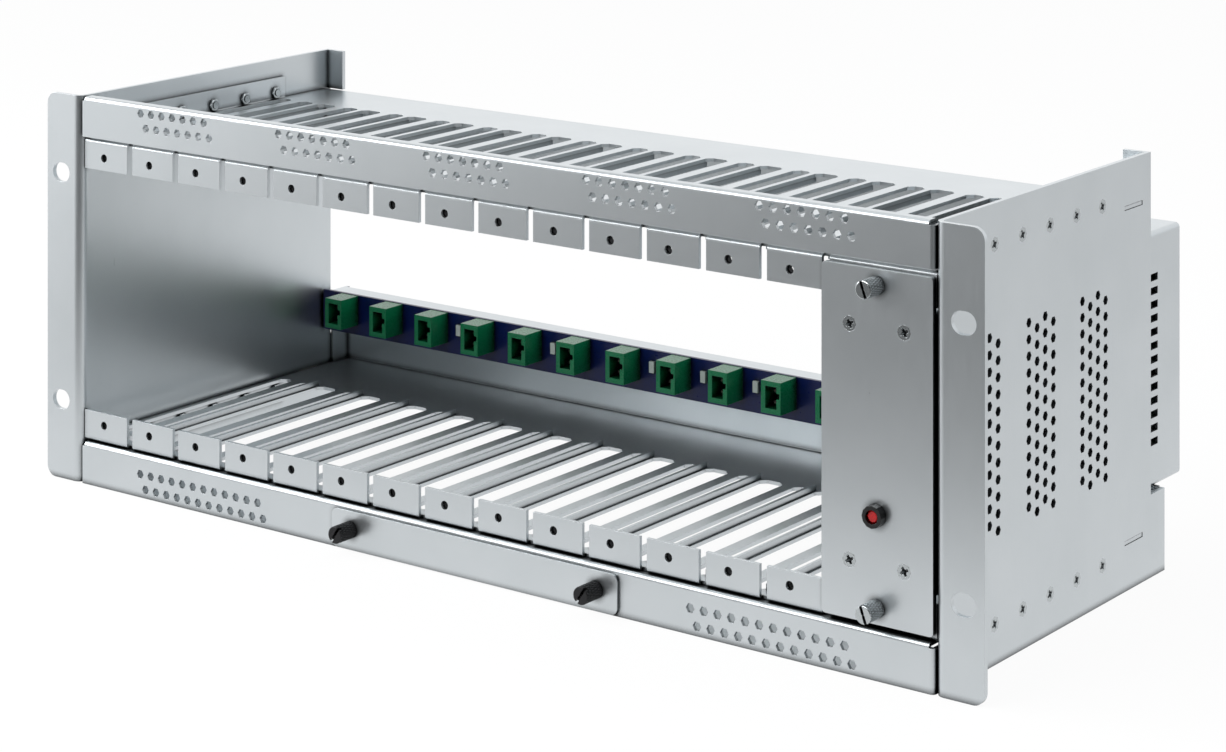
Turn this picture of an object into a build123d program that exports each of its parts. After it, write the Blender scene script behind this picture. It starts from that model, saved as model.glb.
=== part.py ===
from build123d import *
import os

# Card cage for a 19 inch rack: folded sheet sides, slotted guide plates, a backplane
# and a plug-in power supply. Millimetres, +Z up, front towards -Y. The origin is the
# middle of the four rack slots, on the front of the ears.

# Driving sizes of the cage
card_pitch = 28.0
card_count = 14
power_bay = 46.5
left_margin = 1.9
side_sheet = 2.0
plate_sheet = 1.5
bay_height = 132.0
strip_height = 18.5
ear_width = 19.1
ear_bend = 2.0
ear_corner = 5.0

# Rack slots in the ears
rack_slot_length = 10.5
rack_slot_height = 8.6
rack_slot_inset = 8.75
rack_slot_spacing = 101.6

# Guide openings and vents, across from each card's screw and back from the ears' front
guide_front = 10.0
guide_length = 119.0
guide_offset = 3.7
guide_width = 8.5
rail_rise = 2.5
rail_foot = 1.0
vent_width = 11.5
first_vent_width = 7.0
opening_corner = 2.5

# Tabs that take the cards' front screws
tab_setback = 2.4
tab_width = 24.6
tab_drop = 12.2
tab_screw_inset = 10.3
tab_screw_height = 6.7
plate_bend = 0.6
tab_hole_radius = 1.8
tab_thread_radius = 1.5

# Side seams: countersunk screws, flanges and locating tabs
seam_pitch = 21.2
seam_count = 6
seam_first = 19.2
seam_lift = 3.2
seam_flange = 10.0
seam_margin = 7.0
screw_radius = 1.5
screw_head_radius = 2.9
screw_head_height = 1.4
screw_reach = 5.4
screw_sides = 8
hole_sides = 8
nut_sides = 6
screw_gap = 0.1
nut_radius = 2.9
nut_height = 1.6
thick_nut_height = 2.4
locating_gap = 15.0
locating_length = 15.0
fit_gap = 0.2

# Backplane board and the channel that carries it
board_gap = 31.0
board_height = 19.0
board_sheet = 1.6
board_rise = 1.9
board_end_gap = 1.2
channel_rise = 36.0
channel_depth = 16.9
channel_lip = 17.0
channel_end_depth = 12.0
side_overhang = 6.4
rear_flange = 11.5
rear_step = 15.0
board_screw_pitch = 3
board_screw_drop = 16.4
board_screw_bite = 1.2
lip_window_width = 8.0

# Card connectors
connector_offset = 6.2
connector_width = 10.2
connector_height = 14.0
connector_depth = 12.4
connector_wall = 2.2
connector_drop = 0.2
connector_floor = 3.0
key_width = 1.5
key_height = 2.4
key_rise = 1.0
contact_pitch = 5.08
contact_side = 1.14
contact_reach = 6.0
contact_tail = 2.0
resistor_width = 2.6
resistor_height = 5.0
resistor_depth = 1.6
resistor_offset = 15.5
resistor_rise = 2.2
resistor_cards = [3, 5, 7, 8, 9]

# Vent holes
vent_pitch = 6.35
vent_radius = 2.0
vent_sides = 6
vent_shift = 1.0
top_groups = 5
top_group_holes = 7
top_group_pitch = 81.6
bottom_groups = 2
bottom_group_holes = 12
bottom_group_pitch = 295.0
strip_vent_rise = 11.5
side_blocks = 3
side_columns = 4
side_rows = 12
side_block_first = 33.4

# Front strips
strip_flange = 14.0
strip_lip = 5.0
strip_lift = 0.7
strip_under_lip = 40.0
strip_end_flange = 11.0
strip_end_gap = 0.2
strip_bend = 0.3
end_screw_y = 7.5
end_screw_rise = 9.0

# Access cover on the bottom strip
cover_center = 4.0
cover_width = 148.0
cover_height = 16.0
cover_sheet = 1.2
cover_corner = 3.0
cover_lift = 0.5
cover_screw_spacing = 127.2
cover_screw_drop = 7.5
window_width = 100.0
window_height = 9.0

# Power supply module
panel_lap = 2.0
panel_gap = 0.5
panel_margin = 0.8
panel_corner = 1.5
panel_screw_spacing = 23.6
panel_screw_height = 87.2
lamp_drop = 25.0
housing_height = 103.6
housing_length = 195.6
housing_sheet = 1.2
housing_side_gap = 1.0
housing_return = 14.0
housing_corner = 2.0
louvre_rows = 13
louvre_columns = 2
louvre_pitch = 5.57
louvre_height = 3.0
louvre_length = 74.0
louvre_spacing = 84.0
louvre_rear = 19.6

# Thumbscrews
knob_radius = 3.5
knob_length = 9.4
black_knob_radius = 3.6
black_knob_length = 10.0
knob_teeth = 16
knob_groove = 0.3
knob_slot = 1.0
shank_radius = 1.3
shank_gap = 0.2
shank_reach = 5.0

# Indicator lamp
bezel_radius = 4.2
bezel_height = 3.6
bezel_wall = 1.5
bezel_barrel = 6.0
barrel_radius = 3.4
lens_sides = 12
lens_setback = 0.8

# Power supply contents
supply_board_length = 140.0
supply_board_height = 84.0
spacer_length = 5.0
spacer_radius = 2.5
spacer_inset = 5.0
core_length = 54.0
core_height = 50.0
core_depth = 20.0
core_leg = 9.0
coil_height = 31.0
coil_depth = 30.0
coil_y = 137.0
capacitor_radius = 11.0
capacitor_height = 26.0
capacitor_spacing = 26.0
capacitor_count = 2
capacitor_y = 90.0
heat_sink_y = 55.0
fin_count = 5
fin_sheet = 1.6
fin_pitch = 6.0
fin_depth = 18.0
fin_height = 60.0

# Places worked out from the sizes
inner_width = left_margin + card_count * card_pitch + power_bay
inner_x = inner_width / 2
outer_x = inner_x + side_sheet
ear_x = outer_x + ear_width
rack_slot_x = ear_x - rack_slot_inset
plate_in = bay_height / 2
plate_out = plate_in + plate_sheet
top_z = plate_out + strip_height
tab_edge = plate_in - tab_drop
tab_screw_z = plate_in - tab_screw_height
field_x = left_margin - inner_x
field_end = field_x + card_count * card_pitch
cards = [field_x + tab_screw_inset + i * card_pitch for i in range(card_count)]
guide_right = guide_offset + guide_width
vent_left = guide_right + plate_sheet + rail_foot
plate_bend_out = plate_bend + plate_sheet
plate_x = inner_x - plate_bend_out
plate_end = inner_x - fit_gap
strip_bend_out = strip_bend + plate_sheet
guide_middle = guide_front + guide_length / 2
guide_rear = guide_front + guide_length
seam_z = plate_out + seam_lift
seam_end = seam_first + (seam_count - 1) * seam_pitch
seam_middle = (seam_first + seam_end) / 2
seam_length = seam_end - seam_first + 2 * seam_margin
locating_y = guide_rear + locating_gap + locating_length / 2
locating_z = plate_out - plate_sheet / 2
board_y = guide_rear + board_gap
upper_depth = board_y + side_overhang
channel_y = board_y + board_sheet
lower_depth = channel_y + channel_depth
channel_z = channel_rise - plate_out
rear_step_z = rear_step - plate_out
board_z = channel_z + board_rise - board_height / 2
board_left = board_end_gap - inner_x
channel_end = field_end - panel_lap
panel_left = field_end - panel_lap
panel_right = inner_x - panel_gap
panel_x = (panel_left + panel_right) / 2
panel_width = panel_right - panel_left
panel_height = bay_height - 2 * panel_margin
housing_right = inner_x - housing_side_gap
housing_left = panel_left + housing_side_gap
housing_x = (housing_left + housing_right) / 2
housing_width = housing_right - housing_left
housing_rear = tab_setback + housing_length
rear_edge = housing_height / 2 + fit_gap
cover_z = cover_lift + cover_height / 2 - top_z
cover_screw_z = cover_lift + cover_height - cover_screw_drop - top_z
strip_vent_z = plate_out + strip_vent_rise
strip_in = plate_out + strip_lift
front_face = Plane(origin=(0, 0, 0), x_dir=(1, 0, 0), z_dir=(0, -1, 0))
right_face = Plane(origin=(outer_x, 0, 0), x_dir=(0, 1, 0), z_dir=(1, 0, 0))
os.makedirs("parts", exist_ok=True)


def save(piece, name):
    piece.part.label = name
    export_step(piece.part, "parts/" + name + ".step")


def front_plane(y):
    """The plane that looks at the cage from the front, at a depth y."""
    return front_face.offset(-y)


# Side plates

def seam_places():
    return [(seam_first + i * seam_pitch, z) for i in range(seam_count) for z in (seam_z, -seam_z)]


def end_screw_places():
    return [(end_screw_y, z) for z in (plate_out + end_screw_rise, -plate_out - end_screw_rise)]


def side_plate(vented):
    """A side folded out into its ear, drawn as the right one and mirrored for the left."""
    with BuildPart() as plate:
        with BuildSketch(Plane.XY.offset(-top_z)):
            with BuildLine():
                corner = [(ear_x, 0), (inner_x, 0), (inner_x, lower_depth)]
                FilletPolyline(*corner, radius=ear_bend + side_sheet)
                offset(amount=side_sheet, side=Side.RIGHT)
            make_face()
        extrude(amount=2 * top_z)
        with BuildSketch(right_face):
            with Locations((upper_depth, rear_step_z)):
                Rectangle(lower_depth, 2 * top_z, align=Align.MIN)
        extrude(amount=-side_sheet, mode=Mode.SUBTRACT)
        with BuildSketch(Plane.XY.offset(plate_out)):
            with Locations((outer_x, upper_depth)):
                Rectangle(rear_flange, side_sheet, align=Align.MAX)
        extrude(amount=strip_height)
        ear_edges = plate.edges().filter_by(Axis.Y).filter_by_position(Axis.X, ear_x - 0.1, ear_x + 0.1)
        fillet(ear_edges, radius=ear_corner)
        with BuildSketch(front_face):
            with Locations((rack_slot_x, rack_slot_spacing / 2), (rack_slot_x, -rack_slot_spacing / 2)):
                SlotOverall(rack_slot_length, rack_slot_height)
        extrude(amount=-side_sheet, mode=Mode.SUBTRACT)
        with BuildSketch(right_face):
            with Locations(*seam_places(), *end_screw_places()):
                RegularPolygon(screw_head_radius + screw_gap, screw_sides)
        extrude(amount=-screw_head_height - screw_gap, taper=45, mode=Mode.SUBTRACT)
        with BuildSketch(right_face):
            with Locations(*seam_places(), *end_screw_places()):
                RegularPolygon(screw_radius + screw_gap, screw_sides)
            with Locations((locating_y, locating_z), (locating_y, -locating_z)):
                Rectangle(locating_length + 2 * fit_gap, plate_sheet + 2 * fit_gap)
            if vented:
                for block in range(side_blocks):
                    side_vents(side_block_first + 2 * block * seam_pitch)
        extrude(amount=-side_sheet, mode=Mode.SUBTRACT)
        if not vented:
            mirror(about=Plane.YZ, mode=Mode.REPLACE)
    return plate


def side_vents(block_y):
    """One block of vent holes: every second column sits half a pitch lower."""
    for column in range(side_columns):
        across = block_y + (column - (side_columns - 1) / 2) * vent_pitch
        stagger = vent_pitch / 4 if column % 2 == 0 else -vent_pitch / 4
        with Locations((across, stagger)):
            with GridLocations(vent_pitch, vent_pitch, 1, side_rows):
                RegularPolygon(vent_radius, vent_sides)


save(side_plate(vented=False), "side_plate_left")
save(side_plate(vented=True), "side_plate_right")


# Guide plates, drawn as the bottom one; the top one is its mirror image without the channel

def connector_places():
    middle = board_z + board_height / 2 - connector_drop - connector_height / 2
    return [(x + connector_offset, middle) for x in cards]


def board_screw_places():
    height = board_z + board_height / 2 - board_screw_drop
    return [(x - tab_screw_inset, height) for x in cards[1::board_screw_pitch]]


def guide_plate(depth, is_bottom):
    """Front tabs and rear edge folded up, side flanges folded down, guide openings and vents."""
    with BuildPart() as plate:
        with BuildSketch(Plane.YZ.offset(-plate_end)):
            with BuildLine():
                floor = [(tab_setback, -plate_out), (depth, -plate_out), (depth, -rear_edge)]
                FilletPolyline((tab_setback, -tab_edge), *floor, radius=plate_bend_out)
                offset(amount=plate_sheet, side=Side.LEFT)
            make_face()
        extrude(amount=2 * plate_end)
        with BuildSketch(Plane.YZ.offset(-plate_end)):
            if is_bottom:
                with BuildLine():
                    rise = [(depth, -rear_edge), (depth, channel_z), (channel_y, channel_z)]
                    FilletPolyline(*rise, (channel_y, channel_z - channel_lip), radius=plate_bend_out)
                    offset(amount=plate_sheet, side=Side.LEFT)
                make_face()
            else:
                with Locations((depth, channel_z)):
                    Rectangle(plate_sheet, channel_z + rear_edge, align=Align.MAX)
        extrude(amount=channel_end + plate_end)
        if is_bottom:
            with BuildSketch(Plane.YZ.offset(-plate_end)):
                with Locations((depth, channel_z)):
                    Rectangle(channel_end_depth, channel_z + plate_out, align=Align.MAX)
            extrude(amount=plate_sheet)
        for hand in (-1, 1):
            with BuildSketch(Plane.XZ.offset(-seam_middle)):
                with BuildLine():
                    bend = [(hand * plate_x - hand, -plate_in), (hand * inner_x, -plate_in)]
                    FilletPolyline(*bend, (hand * inner_x, -plate_out - seam_flange), radius=plate_bend_out)
                    offset(amount=plate_sheet, side=Side.RIGHT if hand == 1 else Side.LEFT)
                make_face()
            extrude(amount=seam_length / 2, both=True)
            with BuildSketch(Plane.XY.offset(-plate_out)):
                with Locations((hand * (outer_x + plate_x - fit_gap) / 2, locating_y)):
                    Rectangle(outer_x - plate_x - fit_gap, locating_length)
            extrude(amount=plate_sheet)
        with BuildSketch(Plane.XY.offset(-plate_out)) as openings:
            with Locations((cards[0] - card_pitch + vent_left + vent_width, guide_middle)):
                Rectangle(first_vent_width, guide_length, align=(Align.MAX, Align.CENTER))
            with Locations(*[(x + vent_left, guide_middle) for x in cards]):
                Rectangle(vent_width, guide_length, align=(Align.MIN, Align.CENTER))
            with Locations(*[(x + guide_offset, guide_middle) for x in cards]):
                Rectangle(guide_width, guide_length, align=(Align.MIN, Align.CENTER))
            chamfer(openings.vertices(), length=opening_corner)
        extrude(amount=plate_sheet, mode=Mode.SUBTRACT)
        with BuildSketch(Plane.XY.offset(-plate_in)):
            with Locations(*[(x + guide_right, guide_middle) for x in cards]):
                Rectangle(plate_sheet, guide_length, align=(Align.MIN, Align.CENTER))
        extrude(amount=rail_rise)
        with BuildSketch(front_plane(tab_setback)):
            with Locations(*[(x - tab_screw_inset + tab_width, -tab_edge) for x in cards]):
                Rectangle(card_pitch - tab_width, tab_drop + 2 * plate_sheet, align=(Align.MIN, Align.MAX))
        extrude(amount=-plate_bend_out, mode=Mode.SUBTRACT)
        with BuildSketch(front_plane(tab_setback)):
            with Locations(*[(x, -tab_screw_z) for x in cards], (panel_x, -tab_screw_z)):
                Circle(tab_hole_radius)
        extrude(amount=-plate_sheet, mode=Mode.SUBTRACT)
        with BuildSketch(right_face):
            with Locations(*[(y, z) for y, z in seam_places() if z < 0]):
                RegularPolygon(screw_radius + screw_gap, screw_sides)
        extrude(amount=-2 * outer_x, mode=Mode.SUBTRACT)
        if is_bottom:
            with BuildSketch(front_plane(channel_y)):
                with Locations(*connector_places()):
                    Rectangle(lip_window_width, connector_height - 2 * screw_gap)
                with Locations(*board_screw_places()):
                    RegularPolygon(screw_radius + screw_gap, screw_sides)
            extrude(amount=-plate_sheet, mode=Mode.SUBTRACT)
        if not is_bottom:
            mirror(about=Plane.XY, mode=Mode.REPLACE)
    return plate


save(guide_plate(lower_depth, is_bottom=True), "bottom_guide_plate")
save(guide_plate(upper_depth - side_sheet - fit_gap, is_bottom=False), "top_guide_plate")


# Front strips, drawn as the top one; the bottom one is mirrored

def vent_group(holes, right_row):
    """Two rows of vent holes, one of them (-1 lower, 1 upper) half a pitch further right."""
    for side in (-1, 1):
        with Locations((vent_shift + side * right_row * vent_pitch / 4, side * vent_pitch / 2)):
            with GridLocations(vent_pitch, vent_pitch, holes, 1):
                RegularPolygon(vent_radius, vent_sides)


def cover_screw_places():
    return [(cover_center + side * cover_screw_spacing / 2, cover_screw_z) for side in (-1, 1)]


def front_strip(groups, group_holes, group_pitch, is_bottom):
    """A face folded back along its upper edge and at both ends; the bottom one has a lip below too."""
    bent = [(0, top_z), (0, plate_out), (strip_flange, plate_out)]
    end_foot = plate_out + strip_bend_out
    end_height = top_z - end_foot
    if not is_bottom:
        bent = [(strip_lip, top_z), (0, top_z), (0, strip_in)]
        end_foot = strip_in
        end_height = top_z - strip_bend_out - strip_in
    with BuildPart() as strip:
        with BuildSketch(Plane.YZ.offset(strip_end_gap - plate_x)):
            with BuildLine():
                FilletPolyline(*bent, radius=strip_bend_out)
                offset(amount=plate_sheet, side=Side.LEFT)
            make_face()
            if is_bottom:
                with Locations((0, top_z)):
                    Rectangle(strip_under_lip, plate_sheet, align=(Align.MIN, Align.MAX))
        extrude(amount=2 * (plate_x - strip_end_gap))
        for hand in (-1, 1):
            with BuildSketch(Plane.XY.offset(end_foot)):
                with BuildLine():
                    end = [(hand * inner_x, 0), (hand * inner_x, strip_end_flange)]
                    FilletPolyline((hand * (plate_x - strip_end_gap), 0), *end, radius=strip_bend_out)
                    offset(amount=plate_sheet, side=Side.LEFT if hand == 1 else Side.RIGHT)
                make_face()
            extrude(amount=end_height)
        with BuildSketch(front_face):
            with Locations((0, strip_vent_z)):
                with GridLocations(group_pitch, group_pitch, groups, 1):
                    vent_group(group_holes, 1 if is_bottom else -1)
            if is_bottom:
                with Locations((cover_center, -cover_z)):
                    Rectangle(window_width, window_height)
                with Locations(*[(x, -z) for x, z in cover_screw_places()]):
                    RegularPolygon(shank_radius + shank_gap, hole_sides)
        extrude(amount=-plate_sheet, mode=Mode.SUBTRACT)
        with BuildSketch(right_face):
            with Locations(*[(y, z) for y, z in end_screw_places() if z > 0]):
                RegularPolygon(screw_radius + screw_gap, screw_sides)
        extrude(amount=-2 * outer_x, mode=Mode.SUBTRACT)
        if is_bottom:
            mirror(about=Plane.XY, mode=Mode.REPLACE)
    return strip


save(front_strip(top_groups, top_group_holes, top_group_pitch, is_bottom=False), "top_front_strip")
bottom_strip = front_strip(bottom_groups, bottom_group_holes, bottom_group_pitch, is_bottom=True)
save(bottom_strip, "bottom_front_strip")


# Screws and nuts

def side_screws(hand):
    with BuildPart() as screws:
        with BuildSketch(right_face):
            with Locations(*seam_places(), *end_screw_places()):
                RegularPolygon(screw_head_radius, screw_sides)
        extrude(amount=-screw_head_height, taper=45)
        with BuildSketch(right_face):
            with Locations(*seam_places(), *end_screw_places()):
                RegularPolygon(screw_radius, screw_sides)
        extrude(amount=-screw_reach)
        if hand == -1:
            mirror(about=Plane.YZ, mode=Mode.REPLACE)
    return screws


def side_screw_nuts(hand):
    with BuildPart() as nuts:
        with BuildSketch(right_face.offset(-side_sheet - plate_sheet)):
            with Locations(*seam_places(), *end_screw_places()):
                RegularPolygon(nut_radius, nut_sides)
                RegularPolygon(screw_radius, screw_sides, mode=Mode.SUBTRACT)
        extrude(amount=-nut_height)
        if hand == -1:
            mirror(about=Plane.YZ, mode=Mode.REPLACE)
    return nuts


for hand, side in ((-1, "left"), (1, "right")):
    save(side_screws(hand), "side_screws_" + side)
    save(side_screw_nuts(hand), "side_screw_nuts_" + side)


def front_nuts(places, y, bore):
    """Press nuts on the back of a sheet whose back lies at a depth y."""
    with BuildPart() as nuts:
        with BuildSketch(front_plane(y)):
            with Locations(*places):
                RegularPolygon(nut_radius, nut_sides)
                RegularPolygon(bore, nut_sides, mode=Mode.SUBTRACT)
        extrude(amount=-thick_nut_height)
    return nuts


card_screw_places = [(x, z) for x in cards for z in (tab_screw_z, -tab_screw_z)]
save(front_nuts(card_screw_places, tab_setback + plate_sheet, tab_thread_radius), "card_screw_nuts")
panel_knob_places = [(panel_x, tab_screw_z), (panel_x, -tab_screw_z)]
save(front_nuts(panel_knob_places, tab_setback + plate_sheet, shank_radius), "power_supply_nuts")
save(front_nuts(cover_screw_places(), plate_sheet, shank_radius), "access_cover_nuts")


# Thumbscrews

def knob_outline(radius):
    """Corners of a fluted round, every second one set in."""
    corners = []
    for i in range(2 * knob_teeth):
        reach = radius - knob_groove * (i % 2)
        corners.append(Vector(reach, 0).rotate(Axis.Z, 180 * i / knob_teeth))
    return corners


def thumbscrews(places, base_y, radius, length, sheets):
    """Fluted heads with a screwdriver slot, whose shanks go back through some sheets."""
    with BuildPart() as screws:
        with BuildSketch(front_plane(base_y)):
            with Locations(*places):
                Polygon(*knob_outline(radius), align=None)
        extrude(amount=length)
        with BuildSketch(front_plane(base_y - length)):
            with Locations(*places):
                Rectangle(2 * radius, knob_slot)
        extrude(amount=-1.5 * knob_slot, mode=Mode.SUBTRACT)
        with BuildSketch(front_plane(base_y)):
            with Locations(*places):
                RegularPolygon(shank_radius, nut_sides)
        extrude(amount=-sheets - shank_reach)
    return screws


save(thumbscrews(panel_knob_places, 0, knob_radius, knob_length, tab_setback), "power_supply_thumbscrews")
black_knob = (black_knob_radius, black_knob_length)
cover_knobs = thumbscrews(cover_screw_places(), -cover_sheet, *black_knob, cover_sheet)
save(cover_knobs, "access_cover_thumbscrews")


# Access cover

with BuildPart() as access_cover:
    with BuildSketch(front_face):
        with Locations((cover_center, cover_z)):
            RectangleRounded(cover_width, cover_height, cover_corner)
        with Locations(*cover_screw_places()):
            RegularPolygon(shank_radius + shank_gap, hole_sides, mode=Mode.SUBTRACT)
    extrude(amount=cover_sheet)
save(access_cover, "access_cover")


# Backplane

def contact_places():
    return [(x, z + side * contact_pitch / 2) for x, z in connector_places() for side in (-1, 1)]


with BuildPart() as backplane_board:
    with BuildSketch(front_plane(board_y)):
        with Locations((board_left, board_z)):
            Rectangle(channel_end - board_left, board_height, align=(Align.MIN, Align.CENTER))
        with Locations(*contact_places()):
            Rectangle(contact_side, contact_side, mode=Mode.SUBTRACT)
    extrude(amount=-board_sheet)
    with BuildSketch(front_plane(channel_y)):
        with Locations(*board_screw_places()):
            RegularPolygon(screw_radius, screw_sides)
    extrude(amount=board_screw_bite, mode=Mode.SUBTRACT)
save(backplane_board, "backplane_board")

with BuildPart() as backplane_screws:
    with BuildSketch(front_plane(channel_y + plate_sheet)):
        with Locations(*board_screw_places()):
            RegularPolygon(screw_head_radius, screw_sides)
    extrude(amount=-screw_head_height)
    with BuildSketch(front_plane(channel_y + plate_sheet)):
        with Locations(*board_screw_places()):
            RegularPolygon(screw_radius, screw_sides)
    extrude(amount=plate_sheet + board_screw_bite)
save(backplane_screws, "backplane_screws")

with BuildPart() as connector_contacts:
    with BuildSketch(front_plane(board_y + board_sheet + contact_tail)):
        with Locations(*contact_places()):
            Rectangle(contact_side, contact_side)
    extrude(amount=contact_tail + board_sheet + connector_floor + contact_reach)
save(connector_contacts, "connector_contacts")

for i, place in enumerate(connector_places()):
    with BuildPart() as card_connector:
        with BuildSketch(front_plane(board_y)):
            with Locations(place):
                Rectangle(connector_width, connector_height)
                with Locations((0, contact_pitch / 2), (0, -contact_pitch / 2)):
                    Rectangle(contact_side, contact_side, mode=Mode.SUBTRACT)
        extrude(amount=connector_depth)
        with BuildSketch(front_plane(board_y - connector_floor)):
            with Locations(place):
                Rectangle(connector_width - 2 * connector_wall, connector_height - 2 * connector_wall)
                with Locations((connector_width / 2 - connector_wall, key_rise)):
                    Rectangle(key_width, key_height, align=(Align.MIN, Align.CENTER))
        extrude(amount=connector_depth - connector_floor, mode=Mode.SUBTRACT)
    save(card_connector, f"card_connector_{i + 1:02d}")


# Power supply

def corner_places():
    aside = panel_screw_spacing / 2
    above = panel_screw_height / 2
    return [(panel_x + x * aside, z * above) for x in (-1, 1) for z in (-1, 1)]


with BuildPart() as power_supply_panel:
    with BuildSketch(front_face):
        with Locations((panel_x, 0)):
            RectangleRounded(panel_width, panel_height, panel_corner)
        with Locations(*panel_knob_places):
            RegularPolygon(shank_radius + shank_gap, hole_sides, mode=Mode.SUBTRACT)
        with Locations((panel_x, -lamp_drop)):
            RegularPolygon(barrel_radius + fit_gap, lens_sides, mode=Mode.SUBTRACT)
    extrude(amount=-tab_setback)
    with BuildSketch(front_face):
        with Locations(*corner_places()):
            RegularPolygon(screw_head_radius + screw_gap, screw_sides)
    extrude(amount=-screw_head_height - screw_gap, taper=45, mode=Mode.SUBTRACT)
    with BuildSketch(front_face):
        with Locations(*corner_places()):
            RegularPolygon(screw_radius + screw_gap, screw_sides)
    extrude(amount=-tab_setback, mode=Mode.SUBTRACT)
save(power_supply_panel, "power_supply_panel")

with BuildPart() as panel_screws:
    with BuildSketch(front_face):
        with Locations(*corner_places()):
            RegularPolygon(screw_head_radius, screw_sides)
    extrude(amount=-screw_head_height, taper=45)
    with BuildSketch(front_face):
        with Locations(*corner_places()):
            RegularPolygon(screw_radius, screw_sides)
    extrude(amount=-screw_reach)
save(panel_screws, "panel_screws")

with BuildPart() as power_supply_housing:
    with BuildSketch(front_plane(tab_setback)):
        with Locations((housing_x, 0)):
            RectangleRounded(housing_width, housing_height, housing_corner)
    extrude(amount=-housing_length)
    inner_corner = housing_corner - housing_sheet
    with BuildSketch(front_plane(tab_setback + housing_sheet)):
        with Locations((housing_x, 0)):
            inside = (housing_width - 2 * housing_sheet, housing_height - 2 * housing_sheet)
            RectangleRounded(*inside, inner_corner)
    extrude(amount=2 * housing_sheet - housing_length, mode=Mode.SUBTRACT)
    with BuildSketch(front_plane(tab_setback)):
        with Locations((housing_x, 0)):
            Rectangle(housing_width - 2 * housing_sheet, housing_height - 2 * housing_return)
        with Locations(*corner_places()):
            RegularPolygon(screw_radius, screw_sides)
    extrude(amount=-housing_sheet, mode=Mode.SUBTRACT)
    louvre_y = housing_rear - louvre_rear - (louvre_length + (louvre_columns - 1) * louvre_spacing) / 2
    with BuildSketch(right_face.offset(housing_right - outer_x)):
        with Locations((louvre_y, 0)):
            with GridLocations(louvre_spacing, louvre_pitch, louvre_columns, louvre_rows):
                Rectangle(louvre_length, louvre_height)
    extrude(amount=-housing_sheet, mode=Mode.SUBTRACT)
save(power_supply_housing, "power_supply_housing")

with BuildPart() as indicator_bezel:
    with BuildSketch(front_face):
        with Locations((panel_x, -lamp_drop)):
            RegularPolygon(bezel_radius, lens_sides)
    extrude(amount=bezel_height)
    with BuildSketch(front_face):
        with Locations((panel_x, -lamp_drop)):
            RegularPolygon(barrel_radius, lens_sides)
    extrude(amount=-tab_setback - bezel_barrel)
    with BuildSketch(front_plane(-bezel_height)):
        with Locations((panel_x, -lamp_drop)):
            RegularPolygon(bezel_radius - bezel_wall, lens_sides)
    extrude(amount=-bezel_height - tab_setback - bezel_barrel, mode=Mode.SUBTRACT)
save(indicator_bezel, "indicator_bezel")

with BuildPart() as indicator_lens:
    with BuildSketch(front_plane(tab_setback)):
        with Locations((panel_x, -lamp_drop)):
            RegularPolygon(bezel_radius - bezel_wall, lens_sides)
    extrude(amount=tab_setback + bezel_height - lens_setback)
    chamfer(indicator_lens.edges().group_by(Axis.Y)[0], length=lens_setback)
save(indicator_lens, "indicator_lens")

resistor_z = board_z + resistor_rise
resistor_places = [(cards[i] + connector_offset - resistor_offset, resistor_z) for i in resistor_cards]
with BuildPart() as board_resistors:
    with BuildSketch(front_plane(board_y)):
        with Locations(*resistor_places):
            Rectangle(resistor_width, resistor_height)
    extrude(amount=resistor_depth)
save(board_resistors, "board_resistors")

supply_board_x = housing_left + housing_sheet + spacer_length
supply_board_y = (tab_setback + housing_rear) / 2
board_face = right_face.offset(supply_board_x - outer_x)
part_face = board_face.offset(board_sheet)

with BuildPart() as power_supply_board:
    with BuildSketch(board_face):
        with Locations((supply_board_y, 0)):
            Rectangle(supply_board_length, supply_board_height)
    extrude(amount=board_sheet)
save(power_supply_board, "power_supply_board")

with BuildPart() as board_spacers:
    with BuildSketch(board_face):
        with Locations((supply_board_y, 0)):
            spread = (supply_board_length - 2 * spacer_inset, supply_board_height - 2 * spacer_inset)
            with GridLocations(*spread, 2, 2):
                RegularPolygon(spacer_radius, nut_sides)
    extrude(amount=-spacer_length)
save(board_spacers, "board_spacers")

window_length = (core_length - 4 * core_leg) / 2
with BuildPart() as transformer_core:
    with BuildSketch(part_face.offset((coil_depth - core_depth) / 2)):
        with Locations((coil_y, 0)):
            Rectangle(core_length, core_height)
            with GridLocations(window_length + 2 * core_leg, core_height, 2, 1):
                Rectangle(window_length, coil_height, mode=Mode.SUBTRACT)
    extrude(amount=core_depth)
save(transformer_core, "transformer_core")

with BuildPart() as transformer_winding:
    with BuildSketch(Plane.XY.offset(fit_gap - coil_height / 2)):
        with Locations((supply_board_x + board_sheet + coil_depth / 2, coil_y)):
            Rectangle(coil_depth, core_length - 2 * core_leg - 2 * fit_gap)
            Rectangle(core_depth + 2 * fit_gap, 2 * core_leg + 2 * fit_gap, mode=Mode.SUBTRACT)
    extrude(amount=coil_height - 2 * fit_gap)
save(transformer_winding, "transformer_winding")

with BuildPart() as filter_capacitors:
    with BuildSketch(part_face):
        with Locations((capacitor_y, 0)):
            with GridLocations(capacitor_spacing, capacitor_spacing, 1, capacitor_count):
                Circle(capacitor_radius)
    extrude(amount=capacitor_height)
save(filter_capacitors, "filter_capacitors")

with BuildPart() as heat_sink:
    with BuildSketch(part_face):
        with Locations((heat_sink_y, 0)):
            Rectangle((fin_count - 1) * fin_pitch + fin_sheet, fin_height)
    extrude(amount=fin_sheet)
    with BuildSketch(part_face):
        with Locations((heat_sink_y, 0)):
            with GridLocations(fin_pitch, fin_height, fin_count, 1):
                Rectangle(fin_sheet, fin_height)
    extrude(amount=fin_depth)
save(heat_sink, "heat_sink")
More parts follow.
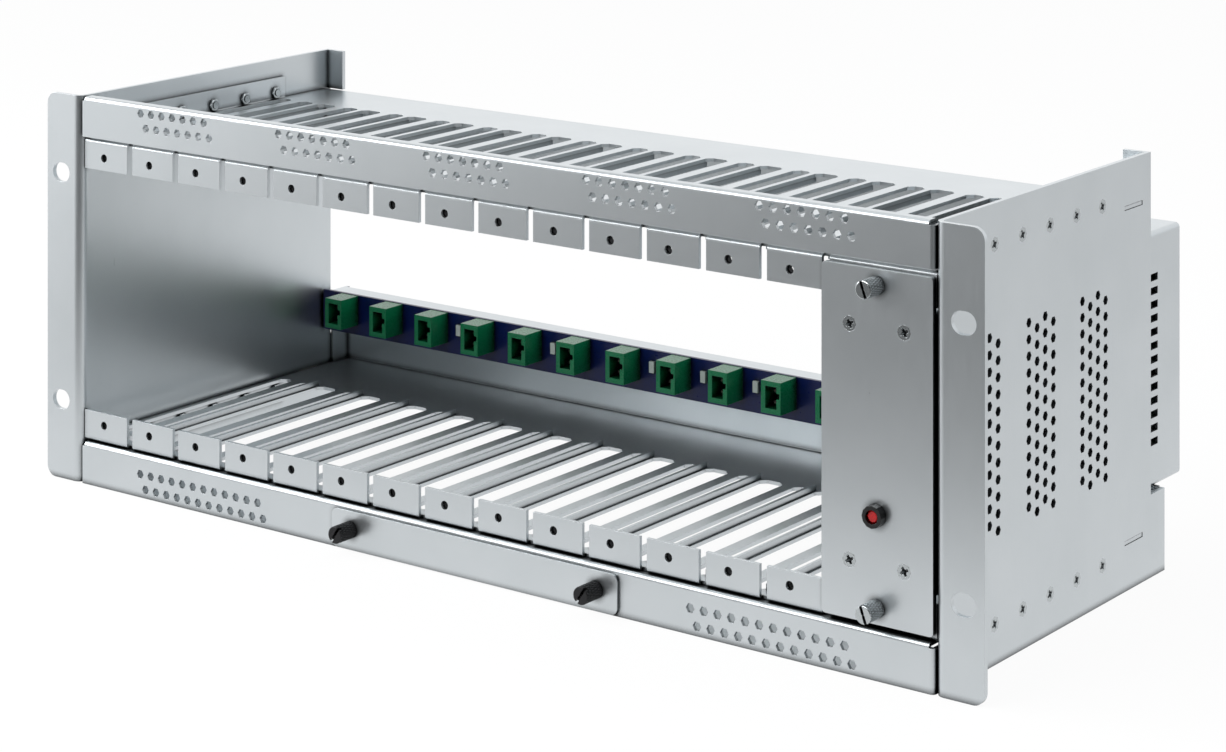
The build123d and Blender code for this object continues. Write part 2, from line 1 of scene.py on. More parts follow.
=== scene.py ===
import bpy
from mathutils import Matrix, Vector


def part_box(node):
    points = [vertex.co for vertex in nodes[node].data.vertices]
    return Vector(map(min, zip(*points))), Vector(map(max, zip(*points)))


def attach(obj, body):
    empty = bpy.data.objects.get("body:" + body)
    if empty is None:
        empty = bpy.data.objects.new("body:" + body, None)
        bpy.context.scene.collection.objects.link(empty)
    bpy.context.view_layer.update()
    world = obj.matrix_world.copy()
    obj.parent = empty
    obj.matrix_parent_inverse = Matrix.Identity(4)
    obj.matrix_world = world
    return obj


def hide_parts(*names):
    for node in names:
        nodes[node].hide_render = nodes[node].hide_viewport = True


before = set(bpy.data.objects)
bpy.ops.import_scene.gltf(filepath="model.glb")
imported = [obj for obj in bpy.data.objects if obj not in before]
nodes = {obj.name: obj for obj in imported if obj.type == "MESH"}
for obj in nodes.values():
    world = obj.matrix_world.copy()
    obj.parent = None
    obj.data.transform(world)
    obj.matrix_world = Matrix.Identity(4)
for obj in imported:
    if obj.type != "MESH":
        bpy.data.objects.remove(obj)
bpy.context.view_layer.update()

import math
import bmesh
import bpy
import numpy as np
from mathutils import Matrix, Vector

perMetre = 1000  # shapes are written in mm, and the model is in metres
print("stage: model loaded,", len(nodes), "nodes")


def linear(hexColour):
    # sRGB hex to the linear values that shaders take
    parts = np.array([int(hexColour[i:i + 2], 16) for i in (1, 3, 5)]) / 255
    low, high = parts / 12.92, ((parts + 0.055) / 1.055) ** 2.4
    return (*np.where(parts <= 0.04045, low, high).tolist(), 1.0)


def addNode(tree, kind, settings=None, links=None):
    # one shader node: settings by attribute or input, links as input: (node, output)
    node = tree.nodes.new(kind)
    for name, value in (settings or {}).items():
        if isinstance(name, str) and hasattr(node, name):
            setattr(node, name, value)
        else:
            node.inputs[name].default_value = value
    for name, (source, output) in (links or {}).items():
        tree.links.new(source.outputs[output], node.inputs[name])
    return node


def newMaterial(name):
    material = bpy.data.materials.new(name)
    material.use_nodes = True
    material.node_tree.nodes.clear()
    return material, material.node_tree


def noise(tree, place, size, detail=2.0):
    # a noise whose grains are size mm across
    return addNode(tree, "ShaderNodeTexNoise", {"Scale": perMetre / size, "Detail": detail},
                   {"Vector": (place, "Object")})


def tinted(tree, factor, colour, second):
    # from one sRGB colour to the other as the factor rises. In a mix of colours, input 0 is the
    # factor, inputs 6 and 7 are the colours and output 2 is the result.
    return addNode(tree, "ShaderNodeMix",
                   {"data_type": "RGBA", 6: linear(colour), 7: linear(second)}, {0: (factor, 0)})


def covered(tree, factor, under, colour):
    # the mix under it turns to an sRGB colour as the factor rises
    return addNode(tree, "ShaderNodeMix", {"data_type": "RGBA", 7: linear(colour)},
                   {0: (factor, 0), 6: (under, 2)})


def ranged(tree, factor, low, high):
    # a value that goes from low to high as the factor goes from 0 to 1
    return addNode(tree, "ShaderNodeMapRange", {"To Min": low, "To Max": high},
                   {"Value": (factor, 0)})


def softEdges(tree, radius):
    # corners that take the light as if they were rounded, radius in mm
    return addNode(tree, "ShaderNodeBevel", {"samples": 4, "Radius": radius / perMetre})


closedShare, openShare = 0.4, 0.95  # painted shade: share of free space at which a place is painted black, or left bare


def paintedShade(tree, tint, reach):
    # painted shade: recesses and gaps narrower than reach, in mm, are painted darker, down to
    # black, as if in shade; open faces keep their colour
    around = addNode(tree, "ShaderNodeAmbientOcclusion",
                     {"samples": 6, "Distance": reach / perMetre})
    clear = addNode(tree, "ShaderNodeMapRange", {"From Min": closedShare, "From Max": openShare},
                    {"Value": (around, 1)})
    return addNode(tree, "ShaderNodeMix", {"data_type": "RGBA", 6: (0.0, 0.0, 0.0, 1.0)},
                   {0: (clear, 0), 7: (tint, 2)})


def finishMaterial(tree, shader):
    addNode(tree, "ShaderNodeOutputMaterial", links={"Surface": (shader, 0)})


def finishSolid(tree, look, tint, shine, height, lift):
    # a surface with softened edges and a relief lift mm high, with painted shade darkening its
    # gaps
    edges = softEdges(tree, look["edge"])
    bump = addNode(tree, "ShaderNodeBump",
                   {"Strength": look["relief"], "Distance": lift / perMetre},
                   {"Height": (height, 0), "Normal": (edges, 0)})
    shader = addNode(tree, "ShaderNodeBsdfPrincipled", {"Metallic": look["metallic"]},
                     {"Base Color": (paintedShade(tree, tint, look["paintedShade"]), 2),
                      "Roughness": (shine, 0), "Normal": (bump, 0)})
    finishMaterial(tree, shader)


def dress(material, *names):
    for name in names:
        slots = nodes[name].data.materials
        slots.clear()
        slots.append(material)


# Zinc-plated steel sheet, cold rolled: pale satin grey, with fine rolling lines that stretch
# the reflections a little and faint clouds in the plating.
zincSheet = {
    "colour": "#d6dbde",
    "cloudColour": "#cbd1d4",
    "metallic": 0.95,  # the rest is the dull bloom of the plating
    "roughness": 0.31,
    "roughnessSpread": 0.06,
    "lineAcross": 0.5,  # mm from one rolling line to the next, drawn coarse so that they show
    "lineLength": 14.0,  # mm that a rolling line runs
    "cloudSize": 30.0,  # mm across a cloud of plating
    "crystalSize": 0.9,  # mm across a crystal of zinc
    "relief": 0.06,  # share of the lift that shows
    "lift": 0.2,  # mm
    "edge": 0.12,  # mm, the radius that shears and punches leave on an edge
    "paintedShade": 3.0,  # mm, how far corners and gaps are darkened by painted shade
}


def sheetMaterial(name, sheet, runs):
    # runs is the axis, 0, 1 or 2, that the rolling lines follow
    material, tree = newMaterial(name)
    place = addNode(tree, "ShaderNodeTexCoord")
    stretch = [perMetre / sheet["lineAcross"]] * 3
    stretch[runs] = perMetre / sheet["lineLength"]
    lined = addNode(tree, "ShaderNodeMapping", {"Scale": stretch}, {"Vector": (place, "Object")})
    lines = addNode(tree, "ShaderNodeTexNoise", {"Scale": 1.0, "Detail": 2.0},
                    {"Vector": (lined, 0)})
    clouds = noise(tree, place, sheet["cloudSize"], 3.0)
    crystals = noise(tree, place, sheet["crystalSize"])
    tint = tinted(tree, clouds, sheet["colour"], sheet["cloudColour"])
    shine = ranged(tree, lines, sheet["roughness"] - sheet["roughnessSpread"],
                   sheet["roughness"] + sheet["roughnessSpread"])
    height = addNode(tree, "ShaderNodeMath", {"operation": "ADD"},
                     {0: (lines, 0), 1: (crystals, 0)})
    finishSolid(tree, sheet, tint, shine, height, sheet["lift"])
    return material


plainLift = 0.1  # mm, the height of the relief on a plain finish
shineSpread = 0.2  # share by which its roughness goes up and down


def plainMaterial(name, look):
    # a fine noise varies the colour, roughness and relief of a moulded, plated or painted surface
    material, tree = newMaterial(name)
    place = addNode(tree, "ShaderNodeTexCoord")
    grain = noise(tree, place, look["grain"], 3.0)
    tint = tinted(tree, grain, look["colour"], look["second"])
    shine = ranged(tree, grain, look["roughness"] * (1 - shineSpread),
                   look["roughness"] * (1 + shineSpread))
    finishSolid(tree, look, tint, shine, grain, plainLift)
    return material


# Finishes: grain is the size of the surface detail, edge the radius of the corners and the
# painted-shade reach how far gaps are painted darker as shade, in mm
finishes = {
    # nickel-plated steel screws and nuts, bright but a little dulled by handling
    "nickelSteel": {
        "colour": "#ccd1d3", "second": "#b3b9bb", "metallic": 1.0, "roughness": 0.24,
        "grain": 0.5, "relief": 0.1, "edge": 0.15, "paintedShade": 1.5,
    },
    # chemically blackened steel, nearly black with a soft sheen on its edges
    "blackOxide": {
        "colour": "#1b1b1d", "second": "#2a2a2c", "metallic": 0.6, "roughness": 0.38,
        "grain": 0.4, "relief": 0.15, "edge": 0.2, "paintedShade": 1.0,
    },
    # solder mask over glass-epoxy board, deep blue and smooth
    "blueSolderMask": {
        "colour": "#011052", "second": "#010b40", "metallic": 0.0, "roughness": 0.3,
        "grain": 1.2, "relief": 0.05, "edge": 0.1, "paintedShade": 3.0,
    },
    # moulded nylon of the plug-in terminal blocks, dark green with a dull skin
    "greenNylon": {
        "colour": "#06774a", "second": "#04653e", "metallic": 0.0, "roughness": 0.28,
        "grain": 0.4, "relief": 0.1, "edge": 0.4, "paintedShade": 6.0,
    },
    # tinned brass contacts, dulled, with painted shade darkening their colour
    "tinnedBrass": {
        "colour": "#8f8c80", "second": "#77746a", "metallic": 1.0, "roughness": 0.28,
        "grain": 0.4, "relief": 0.1, "edge": 0.1, "paintedShade": 6.0,
    },
    # ceramic-bodied resistors, off-white and matt
    "whiteCeramic": {
        "colour": "#c3cbc6", "second": "#b3bbb5", "metallic": 0.0, "roughness": 0.5,
        "grain": 0.5, "relief": 0.1, "edge": 0.2, "paintedShade": 2.0,
    },
    # moulded black ABS of the lamp's bezel
    "blackAbs": {
        "colour": "#070708", "second": "#0e0e0f", "metallic": 0.0, "roughness": 0.35,
        "grain": 0.4, "relief": 0.1, "edge": 0.3, "paintedShade": 1.5,
    },
    # green solder mask of the supply's own board
    "greenSolderMask": {
        "colour": "#0d5b34", "second": "#0a4a2a", "metallic": 0.0, "roughness": 0.35,
        "grain": 1.2, "relief": 0.05, "edge": 0.1, "paintedShade": 3.0,
    },
    # varnished silicon-steel laminations, dark and dull
    "coreSteel": {
        "colour": "#3a3a3d", "second": "#2c2c2f", "metallic": 0.8, "roughness": 0.5,
        "grain": 0.5, "relief": 0.2, "edge": 0.2, "paintedShade": 3.0,
    },
    # enamelled copper wire, warm and glossy
    "enamelledCopper": {
        "colour": "#a3592c", "second": "#8c4720", "metallic": 0.9, "roughness": 0.3,
        "grain": 0.6, "relief": 0.3, "edge": 0.5, "paintedShade": 3.0,
    },
    # shrink sleeve round the capacitors, dark blue PVC
    "capacitorSleeve": {
        "colour": "#1a2350", "second": "#141b40", "metallic": 0.0, "roughness": 0.3,
        "grain": 1.0, "relief": 0.05, "edge": 0.5, "paintedShade": 3.0,
    },
    # black anodised aluminium of the heat sink
    "blackAnodised": {
        "colour": "#1a1a1c", "second": "#232326", "metallic": 0.7, "roughness": 0.45,
        "grain": 0.4, "relief": 0.1, "edge": 0.2, "paintedShade": 3.0,
    },
}
made = {name: plainMaterial(name, look) for name, look in finishes.items()}
sheetAlong = sheetMaterial("zincSheetAlong", zincSheet, 0)
sheetUpright = sheetMaterial("zincSheetUpright", zincSheet, 2)

# Red acrylic lens: clear red with a gloss skin, unlit
redLens = {"colour": "#c4050b", "second": "#860307", "roughness": 0.1, "coat": 0.15, "grain": 0.8}


def lensMaterial(name, look):
    material, tree = newMaterial(name)
    place = addNode(tree, "ShaderNodeTexCoord")
    tint = tinted(tree, noise(tree, place, look["grain"]), look["colour"], look["second"])
    shader = addNode(tree, "ShaderNodeBsdfPrincipled",
                     {"Roughness": look["roughness"], "Coat Weight": look["coat"]},
                     {"Base Color": (tint, 2)})
    finishMaterial(tree, shader)
    return material


dress(sheetAlong, "top_guide_plate", "bottom_guide_plate", "top_front_strip",
      "bottom_front_strip", "access_cover")
dress(sheetUpright, "side_plate_left", "side_plate_right", "power_supply_panel",
      "power_supply_housing")
dress(made["nickelSteel"], "side_screws_left", "side_screws_right", "side_screw_nuts_left",
      "side_screw_nuts_right", "power_supply_nuts", "access_cover_nuts",
      "power_supply_thumbscrews", "panel_screws", "backplane_screws", "board_spacers")
dress(made["blackOxide"], "access_cover_thumbscrews", "card_screw_nuts")
dress(made["blueSolderMask"], "backplane_board")
dress(made["greenNylon"], *[name for name in nodes if name.startswith("card_connector")])
dress(made["tinnedBrass"], "connector_contacts")
dress(made["whiteCeramic"], "board_resistors")
dress(made["blackAbs"], "indicator_bezel")
dress(lensMaterial("redAcrylic", redLens), "indicator_lens")
dress(made["greenSolderMask"], "power_supply_board")
dress(made["coreSteel"], "transformer_core")
dress(made["enamelledCopper"], "transformer_winding")
dress(made["capacitorSleeve"], "filter_capacitors")
dress(made["blackAnodised"], "heat_sink")
print("stage: finishes on the sheet, fasteners and board")

weldReach = 2e-6  # metres: points nearer than this become one
shortEdge = 1e-6  # metres: edges shorter than this go


def turnedPieces(name, places, outward, angles, radii, heights):
    # a closed turned shape at each place. Point (j, k) of the grid lies radii[j, k] from the axis,
    # at angles[j, k] round it, and heights[j, k] out from the place; the axis points outward.
    # All is in mm, and the rings run from the inner end over the side to the outer end.
    outward = np.array(outward, float)
    up = np.array([0.0, 0.0, 1.0])
    aside = np.cross(outward, up)
    ring = radii[..., None] * (np.cos(angles)[..., None] * up + np.sin(angles)[..., None] * aside)
    shape = (ring + heights[..., None] * outward).reshape(-1, 3)
    rings, steps = radii.shape
    j, k = np.meshgrid(np.arange(rings - 1), np.arange(steps), indexing="ij")
    onward = (k + 1) % steps
    faces = np.stack([j * steps + k, j * steps + onward, (j + 1) * steps + onward,
                      (j + 1) * steps + k], -1).reshape(-1, 4)
    places = np.array(places, float)
    points = (places[:, None] + shape[None]).reshape(-1, 3) / perMetre
    firsts = np.arange(len(places))[:, None, None] * len(shape)
    quads = (firsts + faces[None]).reshape(-1, 4)
    mesh = bpy.data.meshes.new(name)
    mesh.from_pydata(points.tolist(), [], quads.tolist())
    tidy = bmesh.new()
    tidy.from_mesh(mesh)
    bmesh.ops.remove_doubles(tidy, verts=tidy.verts, dist=weldReach)
    bmesh.ops.dissolve_degenerate(tidy, edges=tidy.edges, dist=shortEdge)
    tidy.to_mesh(mesh)
    tidy.free()
    return mesh


def seat(name, mesh, material, *hides):
    # the finished piece on the model, standing for the plain nodes that it hides
    mesh.materials.append(made[material])
    piece = bpy.data.objects.new(name, mesh)
    bpy.context.scene.collection.objects.link(piece)
    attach(piece, "root")
    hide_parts(*hides)


def rows(values, steps):
    # a row of equal numbers for each value
    return np.repeat(np.array(values, float)[:, None], steps, axis=1)


# Countersunk cross-recessed screws of the sides and of the supply's panel, in mm
crossScrew = {
    "headRadius": 2.9,
    "headDepth": 1.4,
    "shankRadius": 1.5,
    "reach": 5.4,  # from the head's face to the end of the shank
    "rimRound": 0.12,
    "recessDepth": 1.9,
    "recessTurn": 0.5,  # radians round the axis
    "steepness": 1.25,  # above 1 the recess has a flat floor at its middle
    "wallSlope": 0.12,  # width over which a wall of the recess goes down
    "armLength": 1.9,
    "armWidth": 0.8,
    "pitRadius": 0.95,
    "faceRings": 14,
    "steps": 48,
}


def crossScrewShape(screw):
    # a shank, a cone and a flat head, whose recess is deepest at the axis and along four arms:
    # recessDepth x steepness x (1 - the way out along the arm / armLength), but no more than
    # recessDepth, where the point lies within half an arm's width of the arm's middle line or
    # within the round pit where the arms meet
    head, shank, top = screw["headRadius"], screw["shankRadius"], screw["headDepth"]
    rim, steps = screw["rimRound"], screw["steps"]
    body = [0, shank, shank, head, head]
    bodyHeights = [-screw["reach"], -screw["reach"], -top, -rim, -rim / 3]
    face = np.linspace(head - rim, 0, screw["faceRings"])
    radii = rows(np.concatenate([body, face]), steps)
    heights = rows(np.concatenate([bodyHeights, 0 * face]), steps)
    bearing = np.broadcast_to(np.arange(steps) * 2 * np.pi / steps, radii.shape)
    x, y = np.abs(radii * np.cos(bearing)), np.abs(radii * np.sin(bearing))
    outAlong, aside = np.maximum(x, y), np.minimum(x, y)
    inArm = np.clip((screw["armWidth"] / 2 - aside) / screw["wallSlope"] + 0.5, 0, 1)
    inPit = np.clip((screw["pitRadius"] - radii) / screw["wallSlope"] + 0.5, 0, 1)
    deep = np.clip(screw["steepness"] * (1 - outAlong / screw["armLength"]), 0, 1)
    onFace = np.arange(len(radii))[:, None] >= len(body)
    recess = screw["recessDepth"] * deep * np.maximum(inArm, inPit) * onFace
    return bearing + screw["recessTurn"], radii, heights - recess


# Screws of a side, in mm back from the ears and from the middle of the height: a row above and
# a row below, and one at the front end above and below those rows
seamRow = {
    "first": 19.2,
    "pitch": 21.2,
    "count": 6,
    "height": 70.7,
    "end": 7.5,
    "endHeight": 76.5,
}


def sidePlaces(depth):
    # the screws of the right side, depth in from the outer faces of their heads
    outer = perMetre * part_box("side_screws_right")[1][0] - depth
    alongs = seamRow["first"] + seamRow["pitch"] * np.arange(seamRow["count"])
    pairs = [(y, z * seamRow["height"]) for y in alongs for z in (-1, 1)]
    pairs += [(seamRow["end"], z * seamRow["endHeight"]) for z in (-1, 1)]
    return [(outer, y, z) for y, z in pairs]


def mirrored(places):
    return [(-x, y, z) for x, y, z in places]


rightward, leftward, forward = (1, 0, 0), (-1, 0, 0), (0, -1, 0)
screwShape = crossScrewShape(crossScrew)
seat("sideScrewsRightDetailed",
     turnedPieces("sideScrewsRight", sidePlaces(0), rightward, *screwShape),
     "nickelSteel", "side_screws_right")
seat("sideScrewsLeftDetailed",
     turnedPieces("sideScrewsLeft", mirrored(sidePlaces(0)), leftward, *screwShape),
     "nickelSteel", "side_screws_left")
panelLow, panelHigh = (perMetre * np.array(corner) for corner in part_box("panel_screws"))
panelPlaces = [(x, 0, z)
               for x in (panelLow[0] + crossScrew["headRadius"],
                         panelHigh[0] - crossScrew["headRadius"])
               for z in (panelLow[2] + crossScrew["headRadius"],
                         panelHigh[2] - crossScrew["headRadius"])]
seat("panelScrewsDetailed", turnedPieces("panelScrews", panelPlaces, forward, *screwShape),
     "nickelSteel", "panel_screws")

# Hexagon nuts on the inner ends of the side screws, in mm
sideNut = {
    "radius": 2.9,  # to a corner
    "height": 1.6,
    "bore": 1.5,  # radius
    "rimRound": 0.35,
    "bendShare": 0.4,  # share of rimRound at which the turned corner bends
    "bendLoss": 0.3,  # what the corner has lost there
    "endLoss": 0.55,  # and at the outer end
    "lead": 0.1,  # how far in from the outer end the bore starts
    "sheets": 3.5,  # what lies between the face of the screw's head and the nut
    "steps": 48,
}


def nutShape(nut):
    # a hexagon whose corners are turned down at the outer end: at each angle the radius is the
    # lesser of the flat's distance and a ring that shrinks over the last rimRound of height
    radius, height, rim, steps = nut["radius"], nut["height"], nut["rimRound"], nut["steps"]
    angles = np.arange(steps) * 2 * np.pi / steps
    flat = radius * np.cos(np.pi / 6) / np.cos((angles + np.pi / 6) % (np.pi / 3) - np.pi / 6)
    levels = [0, height - rim, height - nut["bendShare"] * rim, height]
    limits = [radius, radius, radius - nut["bendLoss"], radius - nut["endLoss"]]
    outer = [np.minimum(flat, limit) for limit in limits]
    bore = np.full(steps, nut["bore"])
    radii = np.array([bore] + outer + [bore, bore])
    heights = rows([0] + levels + [height - nut["lead"], 0], steps)
    return np.broadcast_to(angles, radii.shape), radii, heights


nutRing = nutShape(sideNut)
inner = sidePlaces(sideNut["sheets"])
seat("sideNutsRightDetailed", turnedPieces("sideNutsRight", inner, leftward, *nutRing),
     "nickelSteel", "side_screw_nuts_right")
seat("sideNutsLeftDetailed", turnedPieces("sideNutsLeft", mirrored(inner), rightward, *nutRing),
     "nickelSteel", "side_screw_nuts_left")

# Knurled thumbscrews: two of steel on the supply, two black ones on the access cover, in mm
steelKnob = {"radius": 3.5, "length": 9.4, "sheets": 2.4, "turn": 0.35}
blackKnob = {"radius": 3.6, "length": 10.0, "sheets": 1.2, "turn": -0.6}
knurl = {
    "teeth": 22,
    "depth": 0.32,
    "twist": 0.55,
    "sharpness": 6,  # the power that narrows the grooves
    "slotWidth": 1.2,
    "slotDepth": 2.0,
    "rimRound": 0.45,
    "bendShare": 0.3,  # share of rimRound at which the rounding bends
    "shankRadius": 1.3,
    "reach": 5.0,  # of the shank behind the sheets
    "quarter": 26,  # points on a quarter turn
    "inSlot": 4,  # and how many of them lie in the slot
    "levels": 16,
    "faceRings": 8,
}


def knobShape(knob):
    # a knob with a cross-hatched knurl and a slot across its end. The radius of the side falls
    # by depth x the sixth power of |cos(half the teeth x angle + climb)| or of
    # |cos(half the teeth x angle - climb)|, whichever is the larger, and climb is
    # twist x height x teeth / radius / 4. The slot drops every point within half its width.
    radius, length, half = knob["radius"], knob["length"], knurl["slotWidth"] / 2
    rim, teeth, levels = knurl["rimRound"], knurl["teeth"], knurl["levels"]
    bend, inSlot = knurl["bendShare"] * rim, knurl["inSlot"]
    beyond = knurl["quarter"] - inSlot
    shank = [0, knurl["shankRadius"], knurl["shankRadius"], radius - rim, radius - bend]
    shankHeights = [-knob["sheets"] - knurl["reach"]] * 2 + [0, 0, bend]
    face = np.linspace(radius - rim, 0, knurl["faceRings"] + 1)[1:]
    base = np.concatenate([shank, np.full(levels, radius), [radius - bend, radius - rim], face])
    level = np.concatenate([shankHeights, np.linspace(rim, length - rim, levels),
                            [length - bend, length], np.full(len(face), length)])
    slotEdge = np.arcsin(np.clip(half / np.maximum(base, half), 0, 1))[:, None]
    toEdge = slotEdge * np.linspace(0, 1, inSlot)
    fromEdge = slotEdge + (np.pi / 2 - slotEdge) * np.linspace(0, 1, beyond)
    quarter = np.concatenate([toEdge, fromEdge], axis=1)
    halfTurn = np.concatenate([quarter, np.pi - quarter[:, ::-1]], axis=1)
    angles = np.concatenate([halfTurn, np.pi + halfTurn], axis=1)
    marks = np.concatenate([np.ones(inSlot), np.zeros(beyond)])
    slotted = np.tile(np.concatenate([marks, marks[::-1]]), 2)[None] > 0.5
    radii, heights = rows(base, angles.shape[1]), rows(level, angles.shape[1])
    ring = np.arange(len(base))[:, None]
    onSide = (ring >= len(shank)) & (ring < len(shank) + levels)
    climb = knurl["twist"] * heights * teeth / radius / 4
    grooves = np.maximum(np.abs(np.cos(teeth / 2 * angles + climb)),
                         np.abs(np.cos(teeth / 2 * angles - climb)))
    radii = radii - knurl["depth"] * grooves ** knurl["sharpness"] * onSide
    heights = np.where(slotted, np.minimum(heights, length - knurl["slotDepth"]), heights)
    return angles + knob["turn"], radii, heights


knobLow, knobHigh = (perMetre * np.array(corner)
                     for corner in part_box("power_supply_thumbscrews"))
knobX = (knobLow[0] + knobHigh[0]) / 2
knobZ = knobHigh[2] - steelKnob["radius"]
knobPlaces = [(knobX, 0, knobZ), (knobX, 0, -knobZ)]
seat("supplyKnobs", turnedPieces("supplyKnobs", knobPlaces, forward, *knobShape(steelKnob)),
     "nickelSteel", "power_supply_thumbscrews")
coverLow, coverHigh = (perMetre * np.array(corner)
                       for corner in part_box("access_cover_thumbscrews"))
coverPlaces = [(x, -blackKnob["sheets"], (coverLow[2] + coverHigh[2]) / 2)
               for x in (coverLow[0] + blackKnob["radius"], coverHigh[0] - blackKnob["radius"])]
seat("coverKnobs", turnedPieces("coverKnobs", coverPlaces, forward, *knobShape(blackKnob)),
     "blackOxide", "access_cover_thumbscrews")
print("stage: recessed screws, nuts and knurled thumbscrews")


# Floor and studio: a white sweep in a room that is pale behind. Spans on the floor are in
# metres, and those in the room are parts of a unit direction.
studio = {
    "floorHeight": -0.086,
    "floorSize": 6.0,
    "floorColour": "#f4f4f4",
    "floorGlow": 0.93,  # share of the white that needs no lamps
    "darkFloor": 0.06,  # what metal mirrors of the floor far out in front
    "nearFront": (-0.4, -0.04),  # the floor turns from dark to white towards the object
    "nearWhite": 0.83,  # what that adds at its end
    "leftFront": (-0.33, -0.75),  # and towards the left
    "leftWhite": 1.0,
    "rightFade": (0.15, 0.6),  # and is a little greyer at the right
    "rightShade": 0.79,
    "backColour": "#ffffff",
    "rightColour": "#dcdee0",
    "rightSpan": (0.0, 0.8),
    "frontColour": "#1b2125",
    "frontSpan": (0.1, -0.7),
    "leftEnd": (-0.85, -0.55),  # where the dark front ends towards the left
    "ceilingColour": "#a9abad",
    "ceilingSpan": (0.45, 0.85),
    "roomStrength": 1.08,
}


def fade(tree, split, axis, span, start=0.0, end=1.0):
    # from start to end, softly, as the coordinate goes over the span
    return addNode(tree, "ShaderNodeMapRange",
                   {"interpolation_type": "SMOOTHSTEP", "From Min": span[0], "From Max": span[1],
                    "To Min": start, "To Max": end}, {"Value": (split, axis)})


def floorMaterial():
    # a camera sees white; metal mirrors a floor that is dark far out in front, white near the
    # object and at the left, and a little greyer at the right
    material, tree = newMaterial("whiteSweep")
    place = addNode(tree, "ShaderNodeTexCoord")
    split = addNode(tree, "ShaderNodeSeparateXYZ", links={0: (place, "Object")})
    near = fade(tree, split, "Y", studio["nearFront"], end=studio["nearWhite"])
    left = fade(tree, split, "X", studio["leftFront"], end=studio["leftWhite"])
    right = fade(tree, split, "X", studio["rightFade"], start=1.0, end=studio["rightShade"])
    bright = addNode(tree, "ShaderNodeMath", {"operation": "ADD"}, {0: (near, 0), 1: (left, 0)})
    lifted = addNode(tree, "ShaderNodeMath",
                     {"operation": "ADD", "use_clamp": True, 1: studio["darkFloor"]},
                     {0: (bright, 0)})
    mirroredWhite = addNode(tree, "ShaderNodeMath", {"operation": "MULTIPLY"},
                            {0: (lifted, 0), 1: (right, 0)})
    seen = addNode(tree, "ShaderNodeLightPath")
    strength = addNode(tree, "ShaderNodeMix", {"data_type": "FLOAT", 3: 1.0},
                       {0: (seen, "Is Camera Ray"), 2: (mirroredWhite, 0)})
    either = addNode(tree, "ShaderNodeMath", {"operation": "MAXIMUM"},
                     {0: (seen, "Is Camera Ray"), 1: (seen, "Is Glossy Ray")})
    glow = addNode(tree, "ShaderNodeMath", {"operation": "MULTIPLY", 1: studio["floorGlow"]},
                   {0: (either, 0)})
    paper = addNode(tree, "ShaderNodeBsdfDiffuse", {"Color": linear(studio["floorColour"])})
    white = addNode(tree, "ShaderNodeEmission", {"Color": (1, 1, 1, 1)},
                    {"Strength": (strength, 0)})
    both = addNode(tree, "ShaderNodeMixShader", links={0: (glow, 0), 1: (paper, 0), 2: (white, 0)})
    finishMaterial(tree, both)
    return material


def floorSheet():
    half, z = studio["floorSize"] / 2, studio["floorHeight"]
    mesh = bpy.data.meshes.new("studioFloor")
    mesh.from_pydata([(-half, -half, z), (half, -half, z), (half, half, z), (-half, half, z)],
                     [], [(0, 1, 2, 3)])
    floor = bpy.data.objects.new("studioFloor", mesh)
    bpy.context.scene.collection.objects.link(floor)
    mesh.materials.append(floorMaterial())


def room():
    # a camera sees white; all else gets a room that is pale behind and at the left, a little
    # greyer at the right, dark to the front and grey overhead
    world = bpy.data.worlds.new("studioRoom")
    world.use_nodes = True
    bpy.context.scene.world = world
    tree = world.node_tree
    tree.nodes.clear()
    facing = addNode(tree, "ShaderNodeTexCoord")
    split = addNode(tree, "ShaderNodeSeparateXYZ", links={0: (facing, "Generated")})
    front = fade(tree, split, "Y", studio["frontSpan"])
    pastLeft = fade(tree, split, "X", studio["leftEnd"])
    right = fade(tree, split, "X", studio["rightSpan"])
    above = fade(tree, split, "Z", studio["ceilingSpan"])
    darkFront = addNode(tree, "ShaderNodeMath", {"operation": "MULTIPLY"},
                        {0: (front, 0), 1: (pastLeft, 0)})
    pale = tinted(tree, right, studio["backColour"], studio["rightColour"])
    shade = covered(tree, darkFront, pale, studio["frontColour"])
    lidded = covered(tree, above, shade, studio["ceilingColour"])
    seen = addNode(tree, "ShaderNodeLightPath")
    grey = addNode(tree, "ShaderNodeBackground", {"Strength": studio["roomStrength"]},
                   {"Color": (lidded, 2)})
    white = addNode(tree, "ShaderNodeBackground", {"Color": (1, 1, 1, 1), "Strength": 1.0})
    both = addNode(tree, "ShaderNodeMixShader",
                   links={0: (seen, "Is Camera Ray"), 1: (grey, 0), 2: (white, 0)})
    addNode(tree, "ShaderNodeOutputWorld", links={"Surface": (both, 0)})


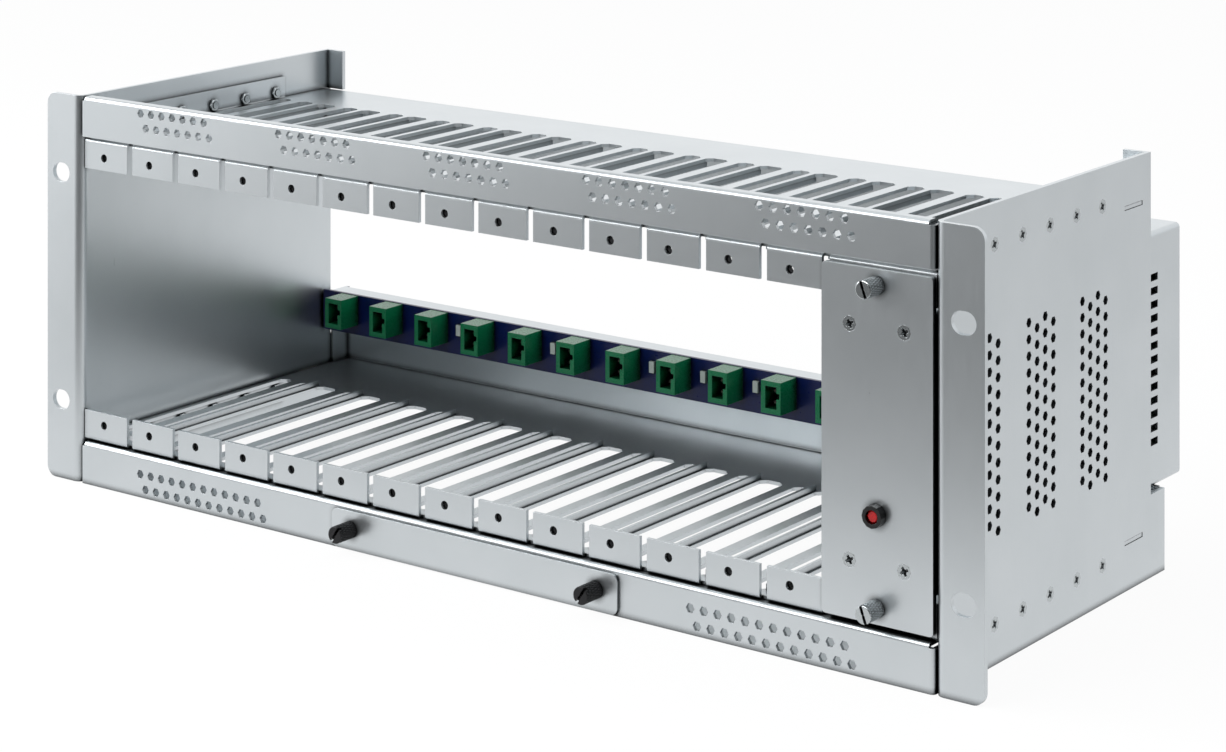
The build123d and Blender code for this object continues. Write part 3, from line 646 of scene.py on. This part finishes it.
# Soft lamps: place, target, width and height in metres, power in watts
lamps = {
    "leftLamp": {"place": (-1.6, -0.7, 0.9), "target": (0, 0, 0),
                 "width": 1.2, "height": 1.2, "power": 22},
    "topLamp": {"place": (0.05, 0.2, 1.4), "target": (0, 0.05, 0),
                "width": 1.6, "height": 1.6, "power": 5},
    "rightLamp": {"place": (1.7, 0.6, 0.6), "target": (0.1, 0, 0),
                  "width": 1.0, "height": 1.0, "power": 5},
    "frontLamp": {"place": (-0.45, -1.5, 1.1), "target": (0, 0.05, 0),
                  "width": 1.4, "height": 1.0, "power": 20},
}


def softLamp(name, look):
    lamp = bpy.data.lights.new(name, "AREA")
    lamp.shape, lamp.energy = "RECTANGLE", look["power"]
    lamp.size, lamp.size_y = look["width"], look["height"]
    holder = bpy.data.objects.new(name, lamp)
    holder.location = look["place"]
    aim = Vector(look["target"]) - Vector(look["place"])
    holder.rotation_euler = aim.to_track_quat("-Z", "Y").to_euler()
    bpy.context.scene.collection.objects.link(holder)


floorSheet()
room()
for lampName, lampLook in lamps.items():
    softLamp(lampName, lampLook)


# Camera of the photo: its film plane stands upright, turned about the vertical and looking
# down by a shifted lens. The shift is written as a slanted frame, so the lens itself has none.
view = {
    "place": (0.813286, -0.991834, 0.328980),  # metres
    "turn": 36.656,  # degrees about the vertical
    "across": 1226,  # pixels of the photo's width
    "focal": 3173.334,  # in those pixels
    "drop": 825.623,  # pixels from the eye's level to the picture's middle
    "film": 36,  # mm, the film's width
    "near": 0.05,  # metres, the nearest and the furthest that it sees
    "far": 50,
}


def photoCamera():
    turn = math.radians(view["turn"])
    right = Vector((math.cos(turn), math.sin(turn), 0))
    up = Vector((0, 0, 1))
    ahead = Vector((-math.sin(turn), math.cos(turn), 0))
    middle = ahead * view["focal"] - up * view["drop"]
    frameAxes = Matrix.Identity(4)
    for column, axis in enumerate((right, up, -middle.normalized(), Vector(view["place"]))):
        frameAxes.col[column][:3] = axis
    data = bpy.data.cameras.new("photoCamera")
    data.sensor_width = view["film"]
    data.lens = middle.length * view["film"] / view["across"]
    data.clip_start, data.clip_end = view["near"], view["far"]
    camera = bpy.data.objects.new("photoCamera", data)
    stand = bpy.data.objects.new("cameraStand", None)
    bpy.context.scene.collection.objects.link(stand)
    bpy.context.scene.collection.objects.link(camera)
    camera.parent = stand
    camera.matrix_parent_inverse = frameAxes
    bpy.context.scene.camera = camera


photoCamera()
bpy.context.scene.view_settings.view_transform = "Standard"
print("stage: studio and camera")
